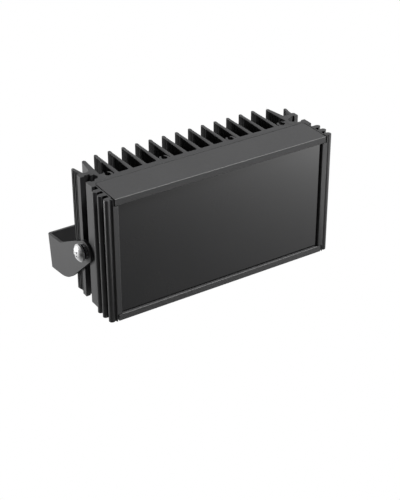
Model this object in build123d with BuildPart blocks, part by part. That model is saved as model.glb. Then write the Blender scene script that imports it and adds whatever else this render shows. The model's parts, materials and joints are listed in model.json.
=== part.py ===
from build123d import *
import os
from math import cos, radians, sin, tan

os.makedirs("parts", exist_ok=True)

# Wall bracket, in the part's frame: origin on the strap's back face, midway between its holes
strap_height = 28.2
sheet = 2.2
bend_radius = 0.6
pivot_reach = 61.9
pivot_rise = 21.7
ear_slope = 22.7
ear_above_pivot = 8.0
ear_nose = (10.2, -1.2)
ear_corner = (8.1, -5.6)
ear_under_slope = 36.5
ear_root = 22.3
ear_root_radius = 8.0
ear_under_radius = 36.0
wall_hole_spacing = 90.0
wall_hole_radius = 3.25
stud_hole_radius = 3.3

# Clamp: a pan-head screw, two washers and a nut on each side
screw_radius = 3.0
screw_length = 14.0
head_radius = 6.85
head_height = 4.3
head_side = 1.5
cross_width = 1.7
cross_length = 7.2
cross_depth = 2.6
pivot_clearance = 0.08
thread_clearance = 0.02
tooth_washer_radius = 6.1
tooth_washer_thickness = 1.05
tooth_count = 12
tooth_gap = 0.9
tooth_depth = 1.2
spring_washer_radius = 5.9
spring_washer_thickness = 1.6
spring_washer_split = 0.8
nut_across_flats = 10.0
nut_thickness = 3.6
face_clearance = 0.1

# Lamp, in its own frame: x to the right, y back from the front face, z up from the bottom end
lamp_tilt = 6.0
lamp_height = 100.0
pivot_depth = 37.5
pivot_height = 42.0

# Extrusion: front lips, chamber and side beads
front_width = 183.0
lip_width = 3.8
lip_rounding = 0.5
side_wall = 4.5
chamber_depth = 26.0
web_thickness = 8.6
ledge_width = 3.0
ledge_thickness = 2.0
bead_tip = 98.1
bead_radius = 2.6
bead_pitch = 7.3
bead_first = 10.6
front_bead_radius = 2.9
front_bead_depth = 3.35
front_bead_out = 95.2

# Extrusion: T-slots and their walls
slot_face = 95.0
slot_face_front = 24.6
slot_mouth = 8.4
slot_lip = 3.5
slot_width = 11.1
slot_depth = 4.2
slot_channel = 6.3
slot_channel_end = 83.2
slot_back_wall = 3.4
slot_inner_wall = 2.1

# Extrusion: fins and screw ports
fin_pitch = 11.546
fin_count = 13
fin_tip_depth = 67.4
fin_root_thickness = 4.0
fin_tip_thickness = 2.5
serration_pitch = 2.08
serration_depth = 0.45
serration_start = 2.6
rim_fin_length = 57.3
rim_fin_thickness = 2.4
rim_fin_lean = 2.0
shoulder_fin_length = 63.7
shoulder_fin_thickness = 3.0
shoulder_fin_lean = 1.7
port_depth = 36.0
port_radius = 2.2
port_wall = 1.7
port_mouth = 2.6
outer_port_offset = 6.5
shoulder_depth = 38.6

# End caps, seals and window
cap_plate = 3.0
cap_width = 180.6
cap_depth = 28.4
cap_corner = 2.6
cap_clearance = 0.6
cap_seal_thickness = 0.5
cap_edge_rounding = 0.5
skirt_height = 5.3
rail_height = 3.2
window_recess = 4.2
window_thickness = 3.0
window_clearance = 0.2
window_seal_thickness = 0.8
cap_screw_depth = 17.5
cap_screw_radius = 1.5
cap_screw_length = 9.0
cap_screw_head = 3.0
cap_port_wall = 2.1

# Light source: boards, emitters and optics
pad_thickness = 0.5
board_thickness = 1.6
led_board_width = 124.0
led_board_height = 84.0
board_margin = 8.0
board_gap = 3.0
led_columns = 6
led_rows = 4
led_size = 3.5
led_height = 2.0
lens_radius = 7.2
lens_sides = 8
lens_taper = 28
lens_length = 9.0
lens_plate = 1.2
lens_leg_wall = 1.0
board_screw_radius = 1.5
board_screw_grip = 5.0
board_screw_head = 2.75
board_screw_head_height = 1.8
driver_height = 70.0
driver_gap = 2.0
standoff_height = 4.0
standoff_radius = 2.6
driver_hole_inset = 3.6
lead_thickness = 0.9
lead_width = 8.0
lead_rise = 3.2
lead_inset = 2.5
inductor_radius = 7.5
inductor_hole = 2.5
inductor_height = 8.0
inductor_place = 20.0
capacitor_radius = 4.0
capacitor_height = 9.0
capacitor_place = 2.0
terminal_width = 10.4
terminal_depth = 8.0
terminal_height = 8.5
terminal_pitch = 5.0
terminal_mouth = 2.6
terminal_place = 22.0

# Cable entry under the bottom cap
gland_offset = 62.0
gland_depth = 17.5
gland_thread_radius = 5.0
gland_bore_radius = 3.4
gland_across_flats = 13.0
gland_head = 3.2
gland_seal_thickness = 0.8
gland_locknut_across_flats = 13.0
gland_locknut_thickness = 2.6
gland_shank = 7.5
cable_radius = 2.5

# Places worked out from the sizes above
chamber_half = front_width / 2 - lip_width
valley = chamber_half + side_wall
root_depth = chamber_depth + web_thickness
seal_depth = window_recess + window_thickness
ledge_depth = seal_depth + window_seal_thickness
pocket_depth = cap_plate + cap_seal_thickness
slot_cavity_floor = slot_face - slot_lip - slot_depth
slot_block_back = pivot_depth + slot_width / 2 + slot_back_wall
slot_block_inner = slot_channel_end - slot_inner_wall
cap_screw_offset = chamber_half - cap_screw_radius - cap_port_wall / 2
outer_port = fin_pitch * (fin_count - 1) / 2 + outer_port_offset
inner_port = fin_pitch * 2.5
leg_inner = slot_face + face_clearance
leg_outer = leg_inner + sheet
tooth_seat = leg_outer + face_clearance / 2
spring_seat = tooth_seat + tooth_washer_thickness
head_seat = spring_seat + spring_washer_thickness

board_limit = cap_screw_offset - cap_screw_radius - cap_port_wall - window_clearance
led_board_middle = led_board_width / 2 - board_limit
driver_width = 2 * board_limit - led_board_width - board_gap
driver_middle = board_limit - driver_width / 2
board_front = chamber_depth - pad_thickness - board_thickness
middle_height = lamp_height / 2
screw_columns = led_board_width - board_margin
screw_rows = led_board_height - board_margin
driver_back = chamber_depth - standoff_height
driver_front = driver_back - board_thickness
driver_rows = driver_height - 2 * driver_hole_inset
driver_height_middle = lamp_height - pocket_depth - board_margin - driver_height / 2

# The lamp leans nose-down about the pivot, which the bracket's ears carry
lamp_back = Vector(0, cos(radians(lamp_tilt)), sin(radians(lamp_tilt)))
lamp_up = Vector(0, -sin(radians(lamp_tilt)), cos(radians(lamp_tilt)))
pivot = Vector(0, -pivot_reach, pivot_rise)
lamp_origin = pivot - lamp_back * pivot_depth - lamp_up * pivot_height
lamp = Plane(origin=lamp_origin, x_dir=(1, 0, 0), z_dir=lamp_up)
back_axis = Axis(lamp_origin, lamp_back)
up_axis = Axis(lamp_origin, lamp_up)


def level(height):
    """Plane across the lamp at a height: sketches on it are drawn as (x, y)."""
    return lamp.offset(height)


def facing(depth):
    """Plane at a depth that looks to the front: sketches on it are drawn as (x, z)."""
    return Plane(origin=lamp_origin + lamp_back * depth, x_dir=(1, 0, 0), z_dir=-lamp_back)


def side(out):
    """Plane square to the pivot that looks to the right: sketches on it are drawn as (y, z)."""
    return Plane(origin=lamp_origin + Vector(out, 0, 0), x_dir=lamp_back, z_dir=(1, 0, 0))


# Bracket: the ear's outline through the whole width, kept where the bent strap runs
with BuildPart() as bracket:
    with BuildSketch(Plane.YZ.offset(-leg_outer)):
        with BuildLine():
            top_back = (0, strap_height / 2)
            ear_bend = (-ear_root, strap_height / 2)
            rise = ear_slope
            ear_top = (
                -pivot_reach + ear_above_pivot * sin(radians(rise)),
                pivot_rise + ear_above_pivot * cos(radians(rise)),
            )
            nose = (-pivot_reach - ear_nose[0], pivot_rise + ear_nose[1])
            corner = (-pivot_reach - ear_corner[0], pivot_rise + ear_corner[1])
            drop = corner[1] + strap_height / 2
            under_bend = (corner[0] + drop / tan(radians(ear_under_slope)), -strap_height / 2)
            FilletPolyline(
                top_back,
                ear_bend,
                ear_top,
                radius=ear_root_radius,
            )
            ThreePointArc(ear_top, nose, corner)
            FilletPolyline(
                corner,
                under_bend,
                (0, -strap_height / 2),
                radius=ear_under_radius,
            )
            Line((0, -strap_height / 2), top_back)
        make_face()
    extrude(amount=2 * leg_outer)
    with BuildSketch(Plane.XY.offset(-strap_height)):
        with Locations((0, -pivot_reach)):
            Rectangle(2 * leg_outer, 2 * pivot_reach)
        rear = vertices().filter_by_position(Axis.Y, -0.1, 0.1)
        fillet(rear, bend_radius + sheet)
        with BuildSketch(Plane.XY.offset(-strap_height), mode=Mode.SUBTRACT):
            with Locations((0, -pivot_reach - sheet)):
                Rectangle(2 * leg_inner, 2 * pivot_reach)
            inner = vertices().filter_by_position(Axis.Y, -sheet - 0.1, -sheet + 0.1)
            fillet(inner, bend_radius)
    extrude(amount=3 * strap_height, mode=Mode.INTERSECT)
    with BuildSketch(Plane.XZ):
        with GridLocations(wall_hole_spacing, 0, 2, 1):
            Circle(wall_hole_radius)
        Circle(stud_hole_radius)
    extrude(amount=sheet * 2, both=True, mode=Mode.SUBTRACT)
    with BuildSketch(side(0)):
        with Locations((pivot_depth, pivot_height)):
            Circle(screw_radius + pivot_clearance)
    extrude(amount=leg_outer + sheet, both=True, mode=Mode.SUBTRACT)
bracket.part.label = "bracket"
export_step(bracket.part, "parts/bracket.step")

# Clamp screws: pan head with a cross recess, shank through the ear into the slot
with BuildPart() as clamp_screws:
    with BuildSketch(side(head_seat - screw_length)):
        with Locations((pivot_depth, pivot_height)):
            Circle(screw_radius)
    extrude(amount=screw_length)
    head_plane = Plane(origin=pivot + Vector(head_seat, 0, 0), x_dir=(1, 0, 0), z_dir=-lamp_back)
    with BuildSketch(head_plane):
        with BuildLine():
            Line((0, 0), (0, head_radius))
            Line((0, head_radius), (head_side, head_radius))
            shoulder = (head_side + (head_height - head_side) * 0.72, head_radius * 0.62)
            ThreePointArc((head_side, head_radius), shoulder, (head_height, 0))
            Line((head_height, 0), (0, 0))
        make_face()
    revolve(axis=Axis(pivot, (1, 0, 0)))
    with BuildSketch(side(head_seat + head_height)):
        with Locations((pivot_depth, pivot_height)):
            Rectangle(cross_length, cross_width, rotation=38)
            Rectangle(cross_width, cross_length, rotation=38)
    extrude(amount=-cross_depth, taper=12, mode=Mode.SUBTRACT)
    mirror(about=Plane.YZ)
clamp_screws.part.label = "clamp_screws"
export_step(clamp_screws.part, "parts/clamp_screws.step")

# Tooth washers: a thin ring, notched around its rim
with BuildPart() as tooth_washers:
    with BuildSketch(side(tooth_seat)):
        with Locations((pivot_depth, pivot_height)):
            Circle(tooth_washer_radius)
            Circle(screw_radius + thread_clearance, mode=Mode.SUBTRACT)
            with PolarLocations(tooth_washer_radius, tooth_count):
                Rectangle(2 * tooth_depth, tooth_gap, mode=Mode.SUBTRACT)
    extrude(amount=tooth_washer_thickness)
    mirror(about=Plane.YZ)
tooth_washers.part.label = "tooth_washers"
export_step(tooth_washers.part, "parts/tooth_washers.step")

# Spring washers: a square-section ring with one slanting split
with BuildPart() as spring_washers:
    with BuildSketch(side(spring_seat)):
        with Locations((pivot_depth, pivot_height)):
            Circle(spring_washer_radius)
            Circle(screw_radius + thread_clearance, mode=Mode.SUBTRACT)
            with Locations((0, spring_washer_radius)):
                Rectangle(spring_washer_split, spring_washer_radius, rotation=25, mode=Mode.SUBTRACT)
    extrude(amount=spring_washer_thickness)
    mirror(about=Plane.YZ)
spring_washers.part.label = "spring_washers"
export_step(spring_washers.part, "parts/spring_washers.step")

# Slot nuts: their flats run along the T-slots and keep them from turning
with BuildPart() as slot_nuts:
    with BuildSketch(side(slot_face - slot_lip - face_clearance)):
        with Locations((pivot_depth, pivot_height)):
            RegularPolygon(nut_across_flats / 2, 6, major_radius=False, rotation=30)
            Circle(screw_radius + thread_clearance, mode=Mode.SUBTRACT)
    extrude(amount=-nut_thickness)
    mirror(about=Plane.YZ)
slot_nuts.part.label = "slot_nuts"
export_step(slot_nuts.part, "parts/slot_nuts.step")


def flank(start, end, outward):
    """Points of a fin's grooved side from start to end, grooves cut in from the plain face."""
    run = Vector(*end) - Vector(*start)
    step = run.normalized()
    inward = Vector(-step.Y, step.X) * (serration_depth if outward else -serration_depth)
    count = int((run.length - serration_start) / serration_pitch)
    points = [Vector(*start)]
    for groove in range(count):
        crest = Vector(*start) + step * (serration_start / 2 + groove * serration_pitch)
        points.append(crest)
        points.append(crest + step * (serration_pitch / 2) + inward)
    points.append(Vector(*start) + step * (serration_start / 2 + count * serration_pitch))
    points.append(Vector(*end))
    return points


# One middle fin: tapered, grooved on both sides, with a round tip
with BuildSketch(mode=Mode.PRIVATE) as fin_section:
    tip_round = fin_tip_thickness / 2
    fin_shoulder = fin_tip_depth - tip_round
    with BuildLine():
        right = flank((fin_root_thickness / 2, root_depth - 1), (tip_round, fin_shoulder), True)
        left = flank((-fin_root_thickness / 2, root_depth - 1), (-tip_round, fin_shoulder), False)
        Polyline(*right)
        ThreePointArc((tip_round, fin_shoulder), (0, fin_tip_depth), (-tip_round, fin_shoulder))
        Polyline(*left)
        Line((-fin_root_thickness / 2, root_depth - 1), (fin_root_thickness / 2, root_depth - 1))
    make_face()

# Right-hand side of the section: beads, T-slot, rim fin and shoulder fin
with BuildSketch(mode=Mode.PRIVATE) as right_section:
    with Locations((chamber_half + side_wall / 2, chamber_depth / 2)):
        Rectangle(side_wall, chamber_depth)
    with BuildLine():
        Polyline(
            (chamber_half, 0),
            (front_width / 2, 0),
            (front_width / 2 + 1.5, 1.5),
            (front_bead_out, front_bead_depth),
            (valley, 2 * front_bead_radius),
            (chamber_half, 2 * front_bead_radius),
            close=True,
        )
    make_face()
    with Locations((front_bead_out, front_bead_depth)):
        Circle(front_bead_radius)
    with Locations(((valley + front_bead_out) / 2, front_bead_depth + front_bead_radius / 2)):
        Rectangle(front_bead_out - valley, front_bead_radius)
    bead_out = bead_tip - bead_radius
    for bead in range(2):
        with Locations((bead_out, bead_first + bead * bead_pitch)):
            Circle(bead_radius)
        with Locations(((valley + bead_out) / 2, bead_first + bead * bead_pitch)):
            Rectangle(bead_out - valley, 2 * bead_radius)
    with Locations((chamber_half - ledge_width / 2, ledge_depth + ledge_thickness / 2)):
        Rectangle(ledge_width, ledge_thickness)
    with Locations((cap_screw_offset, cap_screw_depth)):
        Circle(cap_screw_radius + cap_port_wall)
    with BuildLine():
        Polyline(
            (slot_block_inner, root_depth - 1),
            (chamber_half, chamber_depth - 1),
            (valley, slot_face_front),
            (slot_face, slot_face_front),
            (slot_face, slot_block_back),
            (slot_block_inner, slot_block_back),
            close=True,
        )
    make_face()
    with BuildLine():
        Polyline(
            (outer_port, root_depth - 1),
            (slot_block_inner + 1, root_depth - 1),
            (slot_block_inner + 1, shoulder_depth),
            (outer_port, shoulder_depth),
            close=True,
        )
    make_face()
    # Shoulder fin, just inside the slot's back wall
    with BuildLine():
        foot = slot_block_inner + shoulder_fin_thickness + 1
        tip_in = slot_block_inner - shoulder_fin_lean
        tip_level = shoulder_fin_length - shoulder_fin_thickness / 2
        Polyline(
            (tip_in + shoulder_fin_thickness, tip_level),
            (foot, slot_block_back - 1),
            (slot_block_inner, slot_block_back - 1),
            (slot_block_inner, shoulder_depth),
            (tip_in, tip_level),
        )
        crown = (tip_in + shoulder_fin_thickness / 2, shoulder_fin_length)
        ThreePointArc((tip_in, tip_level), crown, (tip_in + shoulder_fin_thickness, tip_level))
    make_face()
    # Rim fin, which carries the slot's back lip on as a grooved fin
    with BuildLine():
        rim_round = rim_fin_thickness / 2
        rim_level = rim_fin_length - rim_round
        rim_middle = slot_face - rim_fin_lean
        rim_base = slot_block_back - 1
        Polyline(*flank((slot_face, rim_base), (rim_middle + rim_round, rim_level), True))
        crown = (rim_middle, rim_fin_length)
        ThreePointArc((rim_middle + rim_round, rim_level), crown, (rim_middle - rim_round, rim_level))
        Polyline(
            (rim_middle - rim_round, rim_level),
            (slot_face - 5.1, slot_block_back),
            (slot_face - 5.1, rim_base),
            (slot_face, rim_base),
        )
    make_face()
    # T-slot: mouth, cavity for the nut and a pointed channel for the screw's end
    with Locations((slot_face - slot_lip / 2, pivot_depth)):
        Rectangle(slot_lip, slot_mouth, mode=Mode.SUBTRACT)
    with Locations((slot_face - slot_lip - slot_depth / 2, pivot_depth)):
        Rectangle(slot_depth, slot_width, mode=Mode.SUBTRACT)
    with BuildLine():
        point_start = slot_channel_end + slot_channel / 4
        Polyline(
            (slot_cavity_floor, pivot_depth - slot_channel / 2),
            (point_start, pivot_depth - slot_channel / 2),
            (slot_channel_end, pivot_depth),
            (point_start, pivot_depth + slot_channel / 2),
            (slot_cavity_floor, pivot_depth + slot_channel / 2),
            close=True,
        )
    make_face(mode=Mode.SUBTRACT)
    lip_corners = vertices().filter_by_position(Axis.Y, -0.01, 0.01)
    fillet(lip_corners, lip_rounding)

# Housing: the whole section, then the milled ends
with BuildPart() as housing:
    with BuildSketch(lamp):
        with Locations((0, (chamber_depth + root_depth) / 2)):
            Rectangle(2 * slot_block_inner + 1, web_thickness)
        add(right_section.sketch)
        add(mirror(right_section.sketch, about=Plane.YZ, mode=Mode.PRIVATE))
        with GridLocations(fin_pitch, 0, fin_count, 1):
            add(fin_section.sketch)
        for port in (inner_port, outer_port):
            with Locations((-port, port_depth), (port, port_depth)):
                Circle(port_radius + port_wall)
        for port in (inner_port, outer_port):
            with Locations((-port, port_depth), (port, port_depth)):
                Circle(port_radius, mode=Mode.SUBTRACT)
            mouth_middle = port_depth + port_radius + port_wall
            with Locations((-port, mouth_middle), (port, mouth_middle)):
                Rectangle(port_mouth, 2 * (port_radius + port_wall), mode=Mode.SUBTRACT)
        with Locations((-cap_screw_offset, cap_screw_depth), (cap_screw_offset, cap_screw_depth)):
            Circle(cap_screw_radius + thread_clearance, mode=Mode.SUBTRACT)
    extrude(amount=lamp_height)
    pocket_width = cap_width + 2 * cap_clearance
    for end, inward in ((lamp_height, -1), (0, 1)):
        with BuildSketch(level(end)):
            with Locations((0, cap_depth / 2)):
                Rectangle(pocket_width, cap_depth + 2 * cap_clearance)
            fillet(vertices().group_by(Axis.Y)[-1], cap_corner + cap_clearance)
        extrude(amount=inward * pocket_depth, mode=Mode.SUBTRACT)
        with BuildSketch(level(end)):
            with Locations((0, window_recess / 2)):
                Rectangle(front_width, window_recess + 2 * window_clearance)
        extrude(amount=inward * (skirt_height + window_clearance), mode=Mode.SUBTRACT)
    with BuildSketch(facing(chamber_depth)):
        with Locations((led_board_middle, middle_height)):
            with GridLocations(screw_columns, screw_rows, 2, 2):
                Circle(board_screw_radius + thread_clearance)
        with Locations((driver_middle, driver_height_middle)):
            with GridLocations(0, driver_rows, 1, 2):
                Circle(board_screw_radius + thread_clearance)
    extrude(amount=-board_screw_grip, mode=Mode.SUBTRACT)
housing.part.label = "housing"
export_step(housing.part, "parts/housing.step")

# Top cap: plate let in flush, front skirt over the window's edge, rail behind the window
with BuildPart() as top_cap:
    with BuildSketch(level(lamp_height - cap_plate)):
        with Locations((0, cap_depth / 2)):
            Rectangle(cap_width, cap_depth)
        fillet(vertices().group_by(Axis.Y)[-1], cap_corner)
    extrude(amount=cap_plate)
    with BuildSketch(level(lamp_height - skirt_height)):
        with Locations((0, window_recess / 2)):
            Rectangle(cap_width, window_recess)
    extrude(amount=skirt_height)
    with BuildSketch(level(lamp_height - cap_plate - rail_height)):
        with Locations((0, ledge_depth + ledge_thickness / 2)):
            Rectangle(2 * (chamber_half - ledge_width - window_clearance), ledge_thickness)
    extrude(amount=rail_height)
    front_edges = edges().filter_by(Axis.X).group_by(back_axis)[0].sort_by(up_axis)
    fillet([front_edges[0], front_edges[-1]], cap_edge_rounding)
top_cap.part.label = "top_cap"
export_step(top_cap.part, "parts/top_cap.step")

# Bottom cap: the top cap's mirror image, with screw holes and the cable entry
with BuildPart() as bottom_cap:
    mirror(top_cap.part, about=level(lamp_height / 2))
    with Locations(Plane(origin=lamp_origin, x_dir=(-1, 0, 0), z_dir=-lamp_up)):
        with Locations((-cap_screw_offset, cap_screw_depth), (cap_screw_offset, cap_screw_depth)):
            CounterSinkHole(cap_screw_radius + window_clearance, cap_screw_head, cap_plate, 90)
    with BuildSketch(lamp):
        with Locations((gland_offset, gland_depth)):
            Circle(gland_thread_radius + thread_clearance)
    extrude(amount=cap_plate, mode=Mode.SUBTRACT)
bottom_cap.part.label = "bottom_cap"
export_step(bottom_cap.part, "parts/bottom_cap.step")

# Cap seals: a strip along both sides and the back of each pocket
with BuildPart() as top_cap_seal:
    with BuildSketch(level(lamp_height - cap_plate)):
        strip_front = seal_depth + window_seal_thickness
        strip_middle = (strip_front + cap_depth) / 2
        with Locations((0, strip_middle)):
            Rectangle(cap_width, cap_depth - strip_front)
        fillet(vertices().group_by(Axis.Y)[-1], cap_corner)
        with Locations((0, (strip_front + chamber_depth) / 2 - 1)):
            Rectangle(2 * chamber_half, chamber_depth - strip_front + 2, mode=Mode.SUBTRACT)
    extrude(amount=-cap_seal_thickness)
top_cap_seal.part.label = "top_cap_seal"
export_step(top_cap_seal.part, "parts/top_cap_seal.step")

with BuildPart() as bottom_cap_seal:
    mirror(top_cap_seal.part, about=level(lamp_height / 2))
bottom_cap_seal.part.label = "bottom_cap_seal"
export_step(bottom_cap_seal.part, "parts/bottom_cap_seal.step")

# Cap screws: countersunk, flush with the bottom cap, in the chamber's corner ports
with BuildPart() as cap_screws:
    for screw in (-cap_screw_offset, cap_screw_offset):
        with BuildSketch(lamp):
            with Locations((screw, cap_screw_depth)):
                Circle(cap_screw_radius)
        extrude(amount=cap_screw_length)
        with BuildSketch(lamp):
            with Locations((screw, cap_screw_depth)):
                Circle(cap_screw_head - thread_clearance)
        with BuildSketch(level(cap_screw_head - cap_screw_radius)):
            with Locations((screw, cap_screw_depth)):
                Circle(cap_screw_radius - thread_clearance)
        loft()
cap_screws.part.label = "cap_screws"
export_step(cap_screws.part, "parts/cap_screws.step")

# Window: a flat dark pane held between the skirts and the ledges
window_width = 2 * (chamber_half - window_clearance)
window_height = lamp_height - 2 * (cap_plate + window_clearance)
with BuildPart() as front_window:
    with BuildSketch(facing(seal_depth)):
        with Locations((0, lamp_height / 2)):
            Rectangle(window_width, window_height)
    extrude(amount=window_thickness)
front_window.part.label = "front_window"
export_step(front_window.part, "parts/front_window.step")

# Window seal: a flat frame between the pane and the ledges
with BuildPart() as window_seal:
    with BuildSketch(facing(ledge_depth)):
        with Locations((0, lamp_height / 2)):
            Rectangle(window_width, window_height)
            Rectangle(
                window_width - 2 * ledge_width,
                lamp_height - 2 * (cap_plate + rail_height),
                mode=Mode.SUBTRACT,
            )
    extrude(amount=window_seal_thickness)
window_seal.part.label = "window_seal"
export_step(window_seal.part, "parts/window_seal.step")

# Boards lie on the web: the emitters' board to the left, the driver's to the right

with BuildPart() as thermal_pad:
    with BuildSketch(facing(chamber_depth)):
        with Locations((led_board_middle, middle_height)):
            Rectangle(screw_columns - board_margin, led_board_height)
    extrude(amount=pad_thickness)
thermal_pad.part.label = "thermal_pad"
export_step(thermal_pad.part, "parts/thermal_pad.step")

with BuildPart() as led_board:
    with BuildSketch(facing(chamber_depth - pad_thickness)):
        with Locations((led_board_middle, middle_height)):
            Rectangle(led_board_width, led_board_height)
            with GridLocations(screw_columns, screw_rows, 2, 2):
                Circle(board_screw_radius + thread_clearance, mode=Mode.SUBTRACT)
    extrude(amount=board_thickness)
led_board.part.label = "led_board"
export_step(led_board.part, "parts/led_board.step")

# Emitters and their conical lenses share one grid
led_step_x = led_board_width / led_columns
led_step_z = (led_board_height - board_margin) / led_rows
with BuildPart() as led_emitters:
    with BuildSketch(facing(board_front)):
        with Locations((led_board_middle, middle_height)):
            with GridLocations(led_step_x, led_step_z, led_columns, led_rows):
                Rectangle(led_size, led_size)
    extrude(amount=led_height)
led_emitters.part.label = "led_emitters"
export_step(led_emitters.part, "parts/led_emitters.step")

with BuildPart() as lens_array:
    with BuildSketch(facing(board_front - led_height - lens_length)):
        with Locations((led_board_middle, middle_height)):
            Rectangle(led_board_width, led_board_height)
    extrude(amount=-lens_plate)
    with BuildSketch(facing(board_front - led_height - lens_length + lens_plate)):
        with Locations((led_board_middle, middle_height)):
            with GridLocations(led_step_x, led_step_z, led_columns, led_rows):
                RegularPolygon(lens_radius, lens_sides, rotation=180 / lens_sides)
    extrude(amount=lens_plate - lens_length, taper=lens_taper)
    # Four legs stand on the board's corners, over its screws
    with BuildSketch(facing(board_front - led_height - lens_length + lens_plate)):
        with Locations((led_board_middle, middle_height)):
            with GridLocations(screw_columns, screw_rows, 2, 2):
                Circle(board_screw_head + window_clearance + lens_leg_wall)
                Circle(board_screw_head + window_clearance, mode=Mode.SUBTRACT)
    extrude(amount=lens_plate - lens_length - led_height)
lens_array.part.label = "lens_array"
export_step(lens_array.part, "parts/lens_array.step")

# Board screws: pan heads at the corners, threaded into the web
with BuildPart() as board_screws:
    with BuildSketch(facing(board_front)):
        with Locations((led_board_middle, middle_height)):
            with GridLocations(screw_columns, screw_rows, 2, 2):
                Circle(board_screw_head)
    extrude(amount=board_screw_head_height)
    with BuildSketch(facing(board_front)):
        with Locations((led_board_middle, middle_height)):
            with GridLocations(screw_columns, screw_rows, 2, 2):
                Circle(board_screw_radius)
    extrude(amount=-board_thickness - pad_thickness - board_screw_grip)
board_screws.part.label = "board_screws"
export_step(board_screws.part, "parts/board_screws.step")

# Driver board on four round standoffs, held by screws of its own

with BuildPart() as standoffs:
    with BuildSketch(facing(chamber_depth)):
        with Locations((driver_middle, driver_height_middle)):
            with GridLocations(0, driver_rows, 1, 2):
                Circle(standoff_radius)
                Circle(board_screw_radius + thread_clearance, mode=Mode.SUBTRACT)
    extrude(amount=standoff_height)
standoffs.part.label = "standoffs"
export_step(standoffs.part, "parts/standoffs.step")

with BuildPart() as driver_board:
    with BuildSketch(facing(driver_back)):
        with Locations((driver_middle, driver_height_middle)):
            Rectangle(driver_width, driver_height)
            with GridLocations(0, driver_rows, 1, 2):
                Circle(board_screw_radius + thread_clearance, mode=Mode.SUBTRACT)
    extrude(amount=board_thickness)
driver_board.part.label = "driver_board"
export_step(driver_board.part, "parts/driver_board.step")

with BuildPart() as driver_screws:
    with BuildSketch(facing(driver_front)):
        with Locations((driver_middle, driver_height_middle)):
            with GridLocations(0, driver_rows, 1, 2):
                Circle(board_screw_head)
    extrude(amount=board_screw_head_height)
    with BuildSketch(facing(driver_front)):
        with Locations((driver_middle, driver_height_middle)):
            with GridLocations(0, driver_rows, 1, 2):
                Circle(board_screw_radius)
    extrude(amount=-board_thickness - standoff_height - board_screw_grip)
driver_screws.part.label = "driver_screws"
export_step(driver_screws.part, "parts/driver_screws.step")

# Driver parts: a wound ring, two capacitors and the terminal block
with BuildPart() as inductor:
    with BuildSketch(facing(driver_front)):
        with Locations((driver_middle, driver_height_middle + inductor_place)):
            Circle(inductor_radius)
            Circle(inductor_hole, mode=Mode.SUBTRACT)
    extrude(amount=inductor_height)
inductor.part.label = "inductor"
export_step(inductor.part, "parts/inductor.step")

with BuildPart() as capacitors:
    with BuildSketch(facing(driver_front)):
        with Locations((driver_middle, driver_height_middle + capacitor_place)):
            with GridLocations(2 * capacitor_radius + 2, 0, 2, 1):
                Circle(capacitor_radius)
    extrude(amount=capacitor_height)
capacitors.part.label = "capacitors"
export_step(capacitors.part, "parts/capacitors.step")

with BuildPart() as terminal_block:
    with BuildSketch(facing(driver_front)):
        with Locations((driver_middle, driver_height_middle - terminal_place)):
            Rectangle(terminal_width, terminal_depth)
    extrude(amount=terminal_height)
    # The wire mouths look down, towards the cable entry
    with BuildSketch(level(driver_height_middle - terminal_place - terminal_depth / 2)):
        with Locations((driver_middle, driver_front - terminal_height / 2)):
            with GridLocations(terminal_pitch, 0, 2, 1):
                Rectangle(terminal_mouth, terminal_mouth)
    extrude(amount=terminal_mouth, mode=Mode.SUBTRACT)
terminal_block.part.label = "terminal_block"
export_step(terminal_block.part, "parts/terminal_block.step")

# Ribbon of leads that bridges the driver's board and the emitters' board
with BuildPart() as led_leads:
    lead_start = driver_middle - driver_width / 2 + lead_inset
    lead_end = led_board_middle + led_board_width / 2 - lead_inset
    lead_top = driver_front - lead_rise
    with BuildSketch(level(driver_height_middle - lead_width / 2)):
        with Locations((lead_start, driver_front - lead_rise / 2)):
            Rectangle(lead_thickness, lead_rise)
        with Locations((lead_end, (board_front + lead_top) / 2)):
            Rectangle(lead_thickness, board_front - lead_top)
        with Locations(((lead_start + lead_end) / 2, lead_top + lead_thickness / 2)):
            Rectangle(lead_start - lead_end + lead_thickness, lead_thickness)
        fillet(vertices().group_by(Axis.Y)[0], lead_thickness)
    extrude(amount=lead_width)
led_leads.part.label = "led_leads"
export_step(led_leads.part, "parts/led_leads.step")

# Cable entry: seal, hollow screw with a hexagon head, rubber insert and inner locknut
with BuildPart() as gland_seal:
    with BuildSketch(lamp):
        with Locations((gland_offset, gland_depth)):
            Circle(gland_across_flats / 2)
            Circle(gland_thread_radius + thread_clearance, mode=Mode.SUBTRACT)
    extrude(amount=-gland_seal_thickness)
gland_seal.part.label = "gland_seal"
export_step(gland_seal.part, "parts/gland_seal.step")

with BuildPart() as gland_body:
    with BuildSketch(level(-gland_seal_thickness)):
        with Locations((gland_offset, gland_depth)):
            RegularPolygon(gland_across_flats / 2, 6, major_radius=False, rotation=30)
    extrude(amount=-gland_head)
    with BuildSketch(level(-gland_seal_thickness)):
        with Locations((gland_offset, gland_depth)):
            Circle(gland_thread_radius)
    extrude(amount=gland_shank)
    with BuildSketch(level(-gland_seal_thickness - gland_head)):
        with Locations((gland_offset, gland_depth)):
            Circle(gland_bore_radius)
    extrude(amount=gland_head + gland_shank, mode=Mode.SUBTRACT)
gland_body.part.label = "gland_body"
export_step(gland_body.part, "parts/gland_body.step")

with BuildPart() as gland_insert:
    with BuildSketch(level(-gland_seal_thickness - gland_head)):
        with Locations((gland_offset, gland_depth)):
            Circle(gland_bore_radius)
            Circle(cable_radius, mode=Mode.SUBTRACT)
    extrude(amount=gland_head + gland_shank)
gland_insert.part.label = "gland_insert"
export_step(gland_insert.part, "parts/gland_insert.step")

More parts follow.
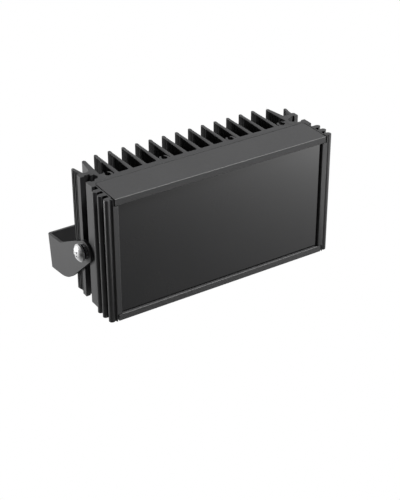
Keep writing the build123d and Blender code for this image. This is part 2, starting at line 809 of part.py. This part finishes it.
with BuildPart() as gland_locknut:
    with BuildSketch(level(cap_plate)):
        with Locations((gland_offset, gland_depth)):
            RegularPolygon(gland_locknut_across_flats / 2, 6, major_radius=False, rotation=30)
            Circle(gland_thread_radius + thread_clearance, mode=Mode.SUBTRACT)
    extrude(amount=gland_locknut_thickness)
gland_locknut.part.label = "gland_locknut"
export_step(gland_locknut.part, "parts/gland_locknut.step")
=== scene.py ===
import json
import math

import bpy
from mathutils import Matrix, Vector


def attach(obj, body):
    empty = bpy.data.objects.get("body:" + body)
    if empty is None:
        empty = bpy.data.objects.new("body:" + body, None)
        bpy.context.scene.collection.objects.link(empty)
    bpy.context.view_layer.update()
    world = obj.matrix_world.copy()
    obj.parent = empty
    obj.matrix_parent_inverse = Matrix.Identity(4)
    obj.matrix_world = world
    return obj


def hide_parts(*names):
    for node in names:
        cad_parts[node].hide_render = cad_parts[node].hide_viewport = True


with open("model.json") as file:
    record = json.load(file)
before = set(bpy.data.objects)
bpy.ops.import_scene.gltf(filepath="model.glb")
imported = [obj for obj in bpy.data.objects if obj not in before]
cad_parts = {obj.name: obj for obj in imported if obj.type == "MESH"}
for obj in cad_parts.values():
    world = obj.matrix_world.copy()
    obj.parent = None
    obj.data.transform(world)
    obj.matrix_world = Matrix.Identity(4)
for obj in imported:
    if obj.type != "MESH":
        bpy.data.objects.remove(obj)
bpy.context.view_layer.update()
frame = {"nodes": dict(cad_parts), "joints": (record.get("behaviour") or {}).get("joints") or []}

nodes = frame["nodes"]

# Camera: a long lens in front of the lamp, to its left and above, where the photograph was taken.
# The lamp hangs nose-down on its two clamp screws, and the camera is placed on the lamp's own
# axes, in millimetres: x to the right, y back from the front face and z up from its bottom end.
mm = 0.001
hinge = next(joint for joint in frame["joints"] if joint["name"] == "tilt")
pivot = Vector(hinge["pos_m"])
pivot_depth = 37.5
pivot_height = 42.0
lean = math.radians(6.0)
lamp_right = Vector((1.0, 0.0, 0.0))
lamp_back = Vector((0.0, math.cos(lean), math.sin(lean)))
lamp_up = Vector((0.0, -math.sin(lean), math.cos(lean)))
lamp_turn = Matrix((lamp_right, lamp_back, lamp_up)).transposed()


def lamp_place(x, y, z):
    """A place on the lamp's own axes, in millimetres, as one in the shared frame."""
    back = lamp_back * (y - pivot_depth)
    rise = lamp_up * (z - pivot_height)
    return pivot + (lamp_right * x + back + rise) * mm


camera_from_lamp = (-470.3, -708.1, 539.6)
camera_turn = math.radians(32.372)
camera_drop = math.radians(30.915)
camera_roll = math.radians(-0.223)
camera_data = bpy.data.cameras.new("camera")
camera_data.sensor_fit = "VERTICAL"
camera_data.sensor_height = 36.0
camera_data.lens = 96.09
camera = bpy.data.objects.new("camera", camera_data)
bpy.context.scene.collection.objects.link(camera)
sight = Vector((
    math.sin(camera_turn) * math.cos(camera_drop),
    math.cos(camera_turn) * math.cos(camera_drop),
    -math.sin(camera_drop),
))
across = sight.cross(Vector((0.0, 0.0, 1.0))).normalized()
upward = across.cross(sight)
rolled_across = across * math.cos(camera_roll) + upward * math.sin(camera_roll)
rolled_up = upward * math.cos(camera_roll) - across * math.sin(camera_roll)
camera_turned = lamp_turn @ Matrix((rolled_across, rolled_up, -sight)).transposed()
camera.matrix_world = Matrix.Translation(lamp_place(*camera_from_lamp)) @ camera_turned.to_4x4()
bpy.context.scene.camera = camera

# Floor and studio: a pale paper sweep far below the lamp, which hangs free as on its wall, in a
# dim room. The camera sees both as white. What shines sees the paper dim close in front of the
# lamp, brighter to the right and pale behind. One softbox is at the left rear, one overhead.


class Value:
    """The output socket of a node: sums and products on it add Math nodes."""

    def __init__(self, finish, socket):
        self.finish = finish
        self.socket = socket

    def __add__(self, other):
        return self.finish.math_node("ADD", self, other)

    __radd__ = __add__

    def __sub__(self, other):
        return self.finish.math_node("SUBTRACT", self, other)

    def __rsub__(self, other):
        return self.finish.math_node("SUBTRACT", other, self)

    def __mul__(self, other):
        return self.finish.math_node("MULTIPLY", self, other)

    __rmul__ = __mul__


class Finish:
    """The nodes of a material, or of the studio, built up one by one."""

    def __init__(self, owner):
        owner.use_nodes = True
        self.owner = owner
        self.tree = owner.node_tree
        self.tree.nodes.clear()

    def node(self, kind, settings, sockets, output=0):
        """One node, with its settings, then the values or links of its sockets."""
        made = self.tree.nodes.new("ShaderNode" + kind)
        for name, setting in settings.items():
            setattr(made, name, setting)
        for name, value in sockets.items():
            if isinstance(value, Value):
                self.tree.links.new(value.socket, made.inputs[name])
            else:
                made.inputs[name].default_value = value
        return Value(self, made.outputs[output]) if made.outputs else None

    def math_node(self, operation, first, second):
        return self.node("Math", {"operation": operation}, {0: first, 1: second})


white = (1.0, 1.0, 1.0, 1.0)
floor_size = 12.0
floor_drop = 0.26
bpy.ops.object.select_all(action="DESELECT")
bpy.ops.mesh.primitive_plane_add(size=floor_size, location=(0.0, 0.0, -floor_drop))
floor = bpy.context.object
floor.name = "floor"
paper = Finish(bpy.data.materials.new("floor_paper"))
spot = paper.node("TexCoord", {}, {}, "Object")
right_way = paper.node("SeparateXYZ", {}, {"Vector": spot}, "X")
back_way = paper.node("SeparateXYZ", {}, {"Vector": spot}, "Y")
# In what shines, the paper grows brighter to the right, and the faster the further in front
rise_at_foot = 0.59
rise_in_front = 8.87
straight_ahead = 0.295
brightest_ahead = 3.0
brightest_behind = 0.6
front_way = paper.math_node("MAXIMUM", back_way * -1.0, 0.0)
rising = paper.math_node("POWER", math.e, right_way * (front_way * rise_in_front + rise_at_foot))
ahead = paper.math_node("MINIMUM", rising * straight_ahead, brightest_ahead)
backward = paper.math_node("MAXIMUM", back_way * 3.0 - 0.15, 0.0)
behind = paper.math_node("MINIMUM", backward, brightest_behind)
pale = paper.node("BsdfDiffuse", {}, {"Color": (0.6, 0.6, 0.6, 1.0)})
sheen = paper.node("Emission", {}, {"Color": ahead + behind, "Strength": 1.0})
glow = paper.node("Emission", {}, {"Color": white, "Strength": 1.0})
mirrored = paper.node("LightPath", {}, {}, "Is Glossy Ray")
seen = paper.node("LightPath", {}, {}, "Is Camera Ray")
shining = paper.node("MixShader", {}, {0: mirrored, 1: pale, 2: sheen})
mixed = paper.node("MixShader", {}, {0: seen, 1: shining, 2: glow})
paper.node("OutputMaterial", {}, {"Surface": mixed})
floor.data.materials.append(paper.owner)

room = Finish(bpy.data.worlds.new("studio"))
facing = room.node("TexCoord", {}, {}, "Generated")
facing_back = room.node("SeparateXYZ", {}, {"Vector": facing}, "Y")
walls = room.node("MapRange", {}, {
    "Value": facing_back, "From Min": -0.2, "From Max": 0.7, "To Min": 0.1, "To Max": 0.7,
})
mirrored_room = room.node("Background", {}, {"Color": walls, "Strength": 1.0})
dim_room = room.node("Background", {}, {"Color": white, "Strength": 0.015})
white_room = room.node("Background", {}, {"Color": white, "Strength": 1.0})
mirrored = room.node("LightPath", {}, {}, "Is Glossy Ray")
seen = room.node("LightPath", {}, {}, "Is Camera Ray")
lit = room.node("MixShader", {}, {0: mirrored, 1: dim_room, 2: mirrored_room})
chosen = room.node("MixShader", {}, {0: seen, 1: lit, 2: white_room})
room.node("OutputWorld", {}, {"Surface": chosen})
bpy.context.scene.world = room.owner
bpy.context.scene.view_settings.view_transform = "Standard"

lamp_middle = lamp_place(0.0, 30.0, 50.0)


def softbox(name, reach, size, power):
    """A square studio light, so far from the lamp's middle and turned towards it."""
    data = bpy.data.lights.new(name, "AREA")
    data.size = size
    data.energy = power
    light = bpy.data.objects.new(name, data)
    bpy.context.scene.collection.objects.link(light)
    light.location = lamp_middle + Vector(reach)
    light.rotation_euler = (-Vector(reach)).to_track_quat("-Z", "Y").to_euler()


softbox("left_light", (-0.85, 0.75, 0.02), 0.22, 8.0)
softbox("top_light", (0.35, -0.45, 1.05), 0.3, 16.0)

# Housing: one aluminium extrusion, sawn to length, milled at both ends, bead-blasted and anodised
# black. It has fine grain all over and faint die lines along its length. Between the beads and
# on the fins' flanks, most of all between their teeth, shade is painted into the colour: painted
# shade, near black.


def speckle(finish, stretch, fineness, detail):
    """Noise on the object's own coordinates, stretched along x, y and z."""
    here = finish.node("TexCoord", {}, {}, "Object")
    laid = finish.node("Mapping", {}, {"Vector": here, "Scale": stretch})
    return finish.node("TexNoise", {}, {"Vector": laid, "Scale": fineness, "Detail": detail})


def lamp_spot(finish, axis):
    """One of the lamp's own coordinates, in millimetres."""
    here = finish.node("TexCoord", {}, {}, "Object")
    origin = lamp_turn.transposed() @ lamp_place(0.0, 0.0, 0.0)
    level = finish.node("Mapping", {}, {
        "Vector": here, "Location": -origin, "Rotation": (-lean, 0.0, 0.0),
    })
    return finish.node("SeparateXYZ", {}, {"Vector": level}, axis) * 1000.0


def within(place, low, high):
    """1 where a coordinate lies between two values, and 0 elsewhere."""
    above = place.finish.math_node("GREATER_THAN", place, low)
    below = place.finish.math_node("LESS_THAN", place, high)
    return above * below


def blend(factor, first, second):
    """One colour over another, by a factor."""
    sockets = {"Factor": factor}
    for socket, colour in ((6, first), (7, second)):
        sockets[socket] = colour if isinstance(colour, Value) else (*colour, 1.0)
    return factor.finish.node("Mix", {"data_type": "RGBA"}, sockets, 2)


even = (1.0, 1.0, 1.0)
along_die = (1.0, 1.0, 0.03)
extrusion = Finish(bpy.data.materials.new("anodised_extrusion"))
grain = speckle(extrusion, even, 1400.0, 3.0)
die_lines = speckle(extrusion, along_die, 900.0, 2.0)
cloud = speckle(extrusion, even, 35.0, 3.0)
tone = grain * 0.35 + die_lines * 0.25 + cloud * 0.4
plain_dye = blend(tone, (0.018, 0.018, 0.0185), (0.055, 0.055, 0.057))
side = extrusion.math_node("ABSOLUTE", lamp_spot(extrusion, "X"), 0.0)
depth = lamp_spot(extrusion, "Y")
rise = lamp_spot(extrusion, "Z")
# Painted shade: the valleys behind the front, the middle and the rear bead, painted near black
valleys = within(depth, 5.4, 8.6) + within(depth, 12.9, 15.9) + within(depth, 20.2, 24.5)
valley_shade_mask = within(side, 92.0, 95.4) * valleys
# Painted shade on the flanks short of the milled ends, darker in stripes at the teeth's pitch; the
# teeth are counted back from the first of each fin
tooth_pitch = 2.08
flanks = within(rise, 0.25, 99.75) * within(depth, 34.2, 66.8)
fin_teeth = within(extrusion.math_node("MODULO", depth - 34.9, tooth_pitch), 0.4, 1.7)
rim_teeth = within(extrusion.math_node("MODULO", depth - 46.75, tooth_pitch), 0.35, 1.75)
middle_fin_shade = flanks * within(side, -1.0, 80.5) * (fin_teeth * 0.25 + 0.65)
rim_fin_shade = flanks * within(side, 91.0, 96.0) * within(depth, 47.0, 57.5) * rim_teeth
# Painted shade: there the colour goes near black and a black diffuse shader is mixed in
painted_shade = extrusion.math_node("MINIMUM", valley_shade_mask * 0.9 + middle_fin_shade + rim_fin_shade * 0.9, 1.0)
painted_black_amount = extrusion.math_node("MINIMUM", valley_shade_mask * 0.9 + middle_fin_shade * 0.5 + rim_fin_shade * 0.7, 1.0)
anodised = extrusion.node("BsdfPrincipled", {}, {
    "Base Color": blend(painted_shade, plain_dye, (0.002, 0.002, 0.002)),
    "Roughness": cloud * 0.12 + 0.4 + painted_shade * 0.45,
    "Normal": extrusion.node("Bump", {}, {
        "Strength": 0.25, "Distance": 0.0001, "Height": grain * 0.7 + die_lines * 0.5,
    }),
})
black = extrusion.node("BsdfDiffuse", {}, {"Color": (0.001, 0.001, 0.001, 1.0)})
anodised_with_painted_shade = extrusion.node("MixShader", {}, {0: painted_black_amount, 1: anodised, 2: black})
extrusion.node("OutputMaterial", {}, {"Surface": anodised_with_painted_shade})

# The body is worked on level, in the lamp's own axes, and laid back in the shared frame at the end
lamp_level = Matrix.Translation(lamp_place(0.0, 0.0, 0.0)) @ lamp_turn.to_4x4()
half_height = 50.0
body = bpy.data.objects.new("finned_body", nodes["housing"].data.copy())
bpy.context.scene.collection.objects.link(body)
body.data.transform(lamp_level.inverted())
bpy.ops.object.select_all(action="DESELECT")
body.select_set(True)
bpy.context.view_layer.objects.active = body
bpy.ops.object.mode_set(mode="EDIT")
bpy.ops.mesh.select_all(action="SELECT")
bpy.ops.mesh.remove_doubles(threshold=0.000001)


def pick(piece, test):
    """In edit mode, only the vertices whose place in millimetres passes a test."""
    bpy.ops.object.mode_set(mode="EDIT")
    bpy.ops.mesh.select_mode(type="VERT")
    bpy.ops.mesh.select_all(action="DESELECT")
    bpy.ops.object.mode_set(mode="OBJECT")
    for vertex in piece.data.vertices:
        vertex.select = test(*(vertex.co * 1000.0))
    bpy.ops.object.mode_set(mode="EDIT")


def move(x, y):
    """Moves what is picked, in millimetres."""
    bpy.ops.transform.translate(value=(x * mm, y * mm, 0.0))


def resize(x, y, z, centre_x, centre_y):
    """Scales what is picked about a line along the lamp's height."""
    centre = (centre_x * mm, centre_y * mm, half_height * mm)
    bpy.ops.transform.resize(value=(x, y, z), center_override=centre)


def break_edges(piece, width):
    """Rounds the sharp edges by a file's stroke."""
    bpy.ops.object.mode_set(mode="OBJECT")
    rounding = piece.modifiers.new("edges", "BEVEL")
    rounding.width = width * mm
    rounding.segments = 2
    rounding.limit_method = "ANGLE"
    rounding.angle_limit = math.radians(55.0)
    rounding.use_clamp_overlap = False
    rounding.harden_normals = True
    bpy.ops.object.shade_smooth_by_angle(angle=math.radians(35.0))
    bpy.ops.object.modifier_apply(modifier="edges")


def stand_for(piece, node, material):
    """Laid back in the shared frame, the piece takes the node's place on the lamp."""
    bpy.ops.object.mode_set(mode="OBJECT")
    piece.data.transform(lamp_level)
    piece.data.materials.clear()
    piece.data.materials.append(material)
    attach(piece, "lamp")
    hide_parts(node)


# The middle and rear beads of each side are slim, so that the valleys between are wide and deep
near = 0.1
bead_foot = 92.1
bead_reach = 2.7
bead_slimming = 0.846
for bead_depth in (10.6, 17.9):
    pick(body, lambda x, y, z: abs(x) > bead_foot and abs(y - bead_depth) < bead_reach)
    resize(1.0, bead_slimming, 1.0, 0.0, bead_depth)
    move(0.0, 0.1)
# The front bead is slim too and lies a little further in, and the corner behind its foot follows
front_bead_foot = 93.1
front_bead_side = 95.2
front_bead_depth = 3.35
front_bead_slimming = 0.8276
foot_corner_side = 92.2
foot_corner_depth = 6.2
for way in (-1.0, 1.0):
    pick(body, lambda x, y, z: x * way > front_bead_foot and y < foot_corner_depth + near)
    resize(front_bead_slimming, front_bead_slimming, 1.0, way * front_bead_side, front_bead_depth)
    move(-way * 0.4, -0.15)
pick(body, lambda x, y, z: (
    abs(abs(x) - foot_corner_side) < near and abs(y - foot_corner_depth) < near
))
move(0.0, -0.65)
# The web is solid as far as the rear corners of the caps' pockets
pocket_corner_side = 81.6
web_front = 32.0
web_fill = 3.95
pick(body, lambda x, y, z: abs(abs(x) - pocket_corner_side) < near and y > web_front)
move(0.0, -web_fill)
# The rim fins' outer flanks lean out to their tips, from roots inboard of the slots' faces
rim_fin_side = 93.2
rim_root_depth = 46.9
rim_tip_side = 94.2
rim_tip_depth = 56.1
rim_fin_turn = math.radians(12.0)
for way in (-1.0, 1.0):
    pick(body, lambda x, y, z: x * way > rim_fin_side and rim_root_depth < y < rim_tip_depth + near)
    bpy.ops.transform.rotate(
        value=way * rim_fin_turn, orient_axis="Z",
        center_override=(way * rim_tip_side * mm, rim_tip_depth * mm, half_height * mm),
    )
break_edges(body, 0.18)
# What the rounding pushed out at the front is dressed back to the front face
pick(body, lambda x, y, z: y < 0.0)
resize(1.0, 0.0, 1.0, 0.0, 0.0)
stand_for(body, "housing", extrusion.owner)

# End caps: milled aluminium plates let in flush, the bottom one screwed on, anodised as the body
# is and a little smoother. Each has a skirt over the window's edge, and a painted highlight along one
# front edge.


def dress(name, material):
    """Gives a CAD node its finish."""
    slots = nodes[name].data.materials
    slots.clear()
    slots.append(material)


def surface(finish, sockets):
    """Ends a finish in one shader and gives the material."""
    shader = finish.node("BsdfPrincipled", {}, sockets)
    finish.node("OutputMaterial", {}, {"Surface": shader})
    return finish.owner


plate = Finish(bpy.data.materials.new("anodised_plate"))
plate_grain = speckle(plate, even, 1800.0, 3.0)
plate_cloud = speckle(plate, even, 28.0, 3.0)
plate_dye = blend(plate_grain * 0.8 + plate_cloud * 0.2, (0.012, 0.012, 0.0125), (0.09, 0.09, 0.092))
plate_rise = lamp_spot(plate, "Z")
top_edge = within(plate_rise, 99.72, 100.5)
bottom_edge = within(plate_rise, 5.05, 5.5)
# Painted highlight: a lighter colour along the top cap's top front edge and the bottom cap skirt's
# top edge
painted_edge_highlight = within(lamp_spot(plate, "Y"), -1.0, 0.3) * (top_edge + bottom_edge)
plate_material = surface(plate, {
    "Base Color": blend(painted_edge_highlight, plate_dye, (0.2, 0.2, 0.2)),
    "Roughness": plate_cloud * 0.1 + 0.55,
    "Normal": plate.node("Bump", {}, {"Strength": 0.2, "Distance": 0.0001, "Height": plate_grain}),
})
for cap in ("top_cap", "bottom_cap"):
    dress(cap, plate_material)

# Window: a pane of dark glass that only infrared passes, polished, with a breath of haze. Its
# edge is ground to a step, so that it sits in the body's groove with its face near the front.
pane = Finish(bpy.data.materials.new("infrared_pane"))
haze = speckle(pane, even, 22.0, 4.0)
pane_width = 175.0
pane_height = 93.6
pane_back = 7.2
step_depth = 4.2
face_width = 174.2
face_height = 88.8
face_depth = 2.0
bpy.ops.object.select_all(action="DESELECT")
bpy.ops.mesh.primitive_cube_add(
    size=1.0,
    location=(0.0, (pane_back + step_depth) / 2.0 * mm, half_height * mm),
    scale=(pane_width * mm, (pane_back - step_depth) * mm, pane_height * mm),
)
dark_pane = bpy.context.object
dark_pane.name = "dark_pane"
bpy.ops.object.transform_apply(location=True, rotation=True, scale=True)
pick(dark_pane, lambda x, y, z: y < step_depth + near)
bpy.ops.mesh.extrude_region_move()
resize(face_width / pane_width, 1.0, face_height / pane_height, 0.0, step_depth)
bpy.ops.mesh.extrude_region_move()
move(0.0, face_depth - step_depth)
break_edges(dark_pane, 0.22)
stand_for(dark_pane, "front_window", surface(pane, {
    "Base Color": blend(haze, (0.012, 0.012, 0.013), (0.02, 0.02, 0.021)),
    "Roughness": haze * 0.03 + 0.04,
    "IOR": 1.5,
}))

# Seals: black silicone strip under both caps and round the window, and the rubber parts of the
# cable gland. They are matte, with a little dust on them.
rubber = Finish(bpy.data.materials.new("silicone_seal"))
dust = speckle(rubber, even, 700.0, 4.0)
rubber_material = surface(rubber, {
    "Base Color": blend(dust, (0.008, 0.008, 0.008), (0.03, 0.03, 0.03)),
    "Roughness": dust * 0.2 + 0.6,
    "Normal": rubber.node("Bump", {}, {"Strength": 0.2, "Distance": 0.0001, "Height": dust}),
})
for seal in ("top_cap_seal", "bottom_cap_seal", "window_seal", "gland_seal", "gland_insert"):
    dress(seal, rubber_material)

# Bracket: a strap of steel sheet, pressed to a U with two shaped ears, and powder coated in
# satin black with a light orange peel.
powder = Finish(bpy.data.materials.new("powder_coat"))
peel = speckle(powder, even, 1100.0, 2.0)
powder_cloud = speckle(powder, even, 40.0, 3.0)
dress("bracket", surface(powder, {
    "Base Color": blend(powder_cloud, (0.03, 0.03, 0.031), (0.05, 0.05, 0.052)),
    "Roughness": peel * 0.15 + 0.38,
    "Normal": powder.node("Bump", {}, {"Strength": 0.25, "Distance": 0.00012, "Height": peel}),
}))

# Clamp hardware and screws: steel, turned and pressed, plated in bright zinc. Only the two
# spring washers are blackened.
zinc = Finish(bpy.data.materials.new("bright_zinc"))
smear = speckle(zinc, even, 300.0, 4.0)
zinc_material = surface(zinc, {
    "Base Color": blend(smear, (0.8, 0.8, 0.81), (0.95, 0.95, 0.95)),
    "Metallic": 1.0,
    "Roughness": smear * 0.2 + 0.2,
})
for clamp_part in ("clamp_screws", "slot_nuts", "tooth_washers"):
    dress(clamp_part, zinc_material)
for fastener in ("cap_screws", "board_screws", "driver_screws", "standoffs"):
    dress(fastener, zinc_material)
blued = Finish(bpy.data.materials.new("blackened_steel"))
mill_scale = speckle(blued, even, 900.0, 4.0)
dress("spring_washers", surface(blued, {
    "Base Color": blend(mill_scale, (0.01, 0.01, 0.011), (0.035, 0.035, 0.036)),
    "Metallic": 0.6,
    "Roughness": mill_scale * 0.2 + 0.3,
}))

# Inside the body: the LED board with its lenses on a thermal pad, and the driver board with its
# parts. They are moulded or coated, and only an opened body shows them, apart from the gland.


def moulding(name, dark, light, roughness, fineness):
    """A moulded or coated finish: two close tones in a fine mottle."""
    made = Finish(bpy.data.materials.new(name))
    mottle = speckle(made, even, fineness, 3.0)
    return surface(made, {
        "Base Color": blend(mottle, dark, light),
        "Roughness": mottle * 0.15 + roughness,
    })


dress("thermal_pad", moulding("pad_grey", (0.25, 0.26, 0.28), (0.36, 0.37, 0.39), 0.7, 500.0))
dress("led_board", moulding("white_mask", (0.7, 0.7, 0.68), (0.8, 0.8, 0.78), 0.35, 300.0))
dress("driver_board", moulding("green_mask", (0.02, 0.14, 0.05), (0.04, 0.2, 0.08), 0.3, 300.0))
dress("led_emitters", moulding("emitter_resin", (0.1, 0.08, 0.12), (0.25, 0.2, 0.28), 0.15, 900.0))
dress("lens_array", moulding("lens_resin", (0.7, 0.7, 0.72), (0.85, 0.85, 0.87), 0.08, 200.0))
dress("inductor", moulding("ferrite", (0.05, 0.05, 0.055), (0.1, 0.1, 0.1), 0.5, 900.0))
dress("capacitors", moulding("can_sleeve", (0.02, 0.02, 0.03), (0.05, 0.05, 0.08), 0.3, 400.0))
dress("terminal_block", moulding("terminal_green", (0.03, 0.2, 0.08), (0.05, 0.3, 0.12), 0.35, 500.0))
dress("led_leads", moulding("lead_jacket", (0.35, 0.02, 0.02), (0.5, 0.04, 0.03), 0.45, 600.0))
gland_nylon = moulding("gland_nylon", (0.02, 0.02, 0.02), (0.045, 0.045, 0.045), 0.4, 900.0)
dress("gland_body", gland_nylon)
dress("gland_locknut", gland_nylon)
